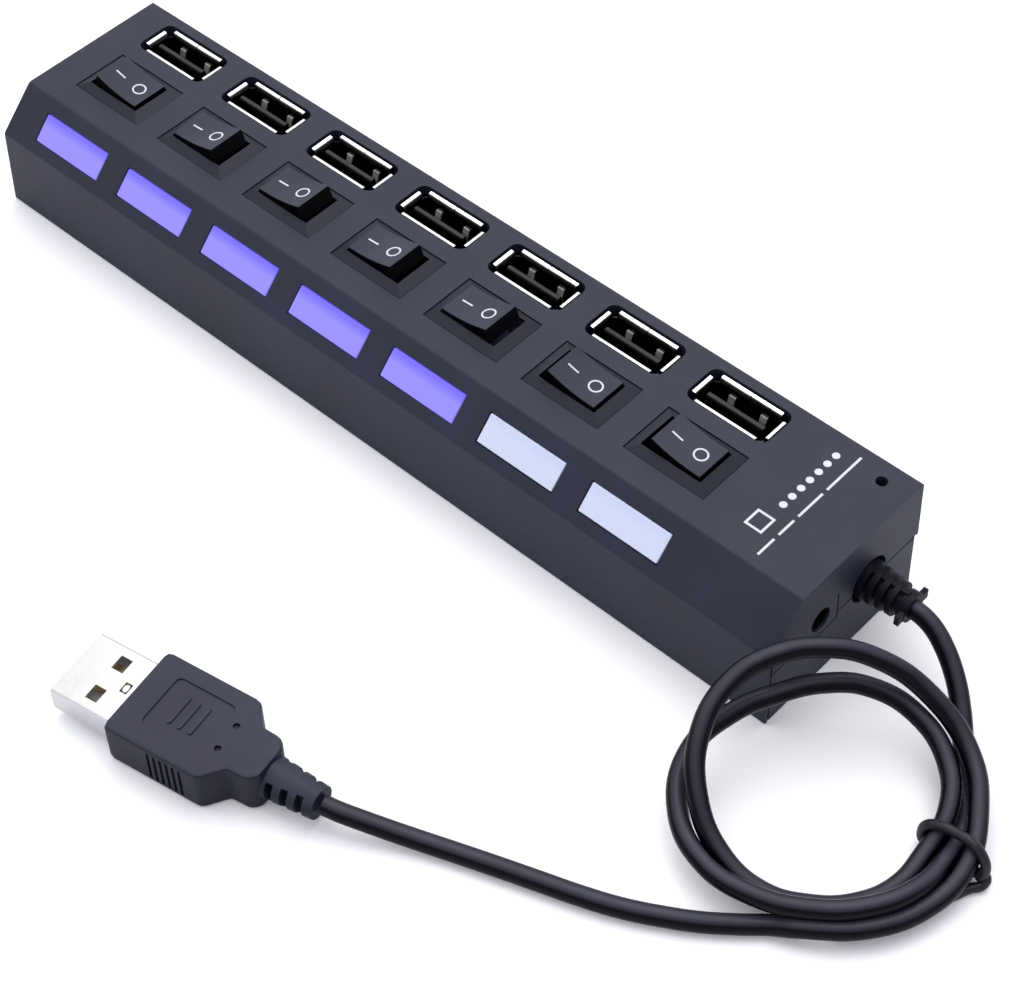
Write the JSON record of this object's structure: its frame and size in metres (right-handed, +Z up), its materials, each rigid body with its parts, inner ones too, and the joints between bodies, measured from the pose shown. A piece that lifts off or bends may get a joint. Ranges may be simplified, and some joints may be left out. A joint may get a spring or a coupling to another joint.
{
  "type": "usb hub",
  "caption": "Bar-shaped USB hub with a rocker switch and lamp window for each port, a power jack and a captive lead coiled in a tie, ending in a USB-A plug.",
  "frame": {"origin": "middle of the housing's underside, on the surface that it stands on", "axes": "+X along the housing towards the lead's end, +Y from the lamp windows to the ports, +Z up through the ports"},
  "size_m": [0.2036, 0.1022, 0.0249],
  "materials": {
    "case_plastic": "fine matt spark texture, charcoal black",
    "cover_plastic": "fine matt texture, charcoal black",
    "switch_plastic": "satin moulded plastic, black",
    "rocker_plastic": "semi-gloss moulded plastic, black",
    "plated_metal": "bright nickel-plated pressed steel",
    "tongue_plastic": "satin moulded plastic, black",
    "window_lit": "translucent diffuser, lit blue-violet",
    "window_unlit": "translucent diffuser, milky white",
    "lamp_body": "cast clear resin lamp",
    "circuit_board": "green solder mask",
    "chip_plastic": "moulded black package",
    "jack_plastic": "moulded black socket body",
    "screw_steel": "zinc-plated steel",
    "moulded_grip": "soft over-moulded plastic, charcoal",
    "cable_jacket": "semi-gloss extruded jacket, black",
    "tie_plastic": "plastic-covered tie wire, black",
    "plug_insulator": "grey moulded insulator",
    "print_ink": "white printed marks",
    "contact_gold": "gold-plated contacts"
  },
  "bodies": {
    "housing": {"upper_shell": "case_plastic", "lower_cover": "cover_plastic", "board": "circuit_board", "port_shell_1": "plated_metal", "port_tongue_1": "tongue_plastic", "switch_housing_1": "switch_plastic", "lamp_window_1": "window_lit", "lamp_led_1": "lamp_body", "port_shell_2": "plated_metal", "port_tongue_2": "tongue_plastic", "switch_housing_2": "switch_plastic", "lamp_window_2": "window_lit", "lamp_led_2": "lamp_body", "port_shell_3": "plated_metal", "port_tongue_3": "tongue_plastic", "switch_housing_3": "switch_plastic", "lamp_window_3": "window_lit", "lamp_led_3": "lamp_body", "port_shell_4": "plated_metal", "port_tongue_4": "tongue_plastic", "switch_housing_4": "switch_plastic", "lamp_window_4": "window_lit", "lamp_led_4": "lamp_body", "port_shell_5": "plated_metal", "port_tongue_5": "tongue_plastic", "switch_housing_5": "switch_plastic", "lamp_window_5": "window_lit", "lamp_led_5": "lamp_body", "port_shell_6": "plated_metal", "port_tongue_6": "tongue_plastic", "switch_housing_6": "switch_plastic", "lamp_window_6": "window_unlit", "lamp_led_6": "lamp_body", "port_shell_7": "plated_metal", "port_tongue_7": "tongue_plastic", "switch_housing_7": "switch_plastic", "lamp_window_7": "window_unlit", "lamp_led_7": "lamp_body", "power_lamp": "lamp_body", "power_jack": "jack_plastic", "hub_chip_1": "chip_plastic", "hub_chip_2": "chip_plastic", "cover_screw_1": "screw_steel", "cover_screw_2": "screw_steel", "cable_gland": "moulded_grip", "cable_lead": "cable_jacket", "cable_tail": "cable_jacket", "cable_coil": "cable_jacket", "cable_tie": "tie_plastic", "plug_grip": "moulded_grip", "plug_shell": "plated_metal", "plug_insulator": "plug_insulator"},
    "switch_1": {"rocker_1": "rocker_plastic"},
    "switch_2": {"rocker_2": "rocker_plastic"},
    "switch_3": {"rocker_3": "rocker_plastic"},
    "switch_4": {"rocker_4": "rocker_plastic"},
    "switch_5": {"rocker_5": "rocker_plastic"},
    "switch_6": {"rocker_6": "rocker_plastic"},
    "switch_7": {"rocker_7": "rocker_plastic"}
  },
  "joints": [
    {"name": "switch_1_rock", "type": "hinge", "parent": "housing", "child": "switch_1", "pos_m": [-0.06778, -0.00073, 0.0197], "axis": [0, 1, 0], "range_deg": [-19, 0]},
    {"name": "switch_2_rock", "type": "hinge", "parent": "housing", "child": "switch_2", "pos_m": [-0.04772, -0.00073, 0.0197], "axis": [0, 1, 0], "range_deg": [0, 19]},
    {"name": "switch_3_rock", "type": "hinge", "parent": "housing", "child": "switch_3", "pos_m": [-0.02766, -0.00073, 0.0197], "axis": [0, 1, 0], "range_deg": [0, 19]},
    {"name": "switch_4_rock", "type": "hinge", "parent": "housing", "child": "switch_4", "pos_m": [-0.0076, -0.00073, 0.0197], "axis": [0, 1, 0], "range_deg": [0, 19]},
    {"name": "switch_5_rock", "type": "hinge", "parent": "housing", "child": "switch_5", "pos_m": [0.01246, -0.00073, 0.0197], "axis": [0, 1, 0], "range_deg": [0, 19]},
    {"name": "switch_6_rock", "type": "hinge", "parent": "housing", "child": "switch_6", "pos_m": [0.03252, -0.00073, 0.0197], "axis": [0, 1, 0], "range_deg": [-19, 0]},
    {"name": "switch_7_rock", "type": "hinge", "parent": "housing", "child": "switch_7", "pos_m": [0.05258, -0.00073, 0.0197], "axis": [0, 1, 0], "range_deg": [-19, 0]}
  ]
}
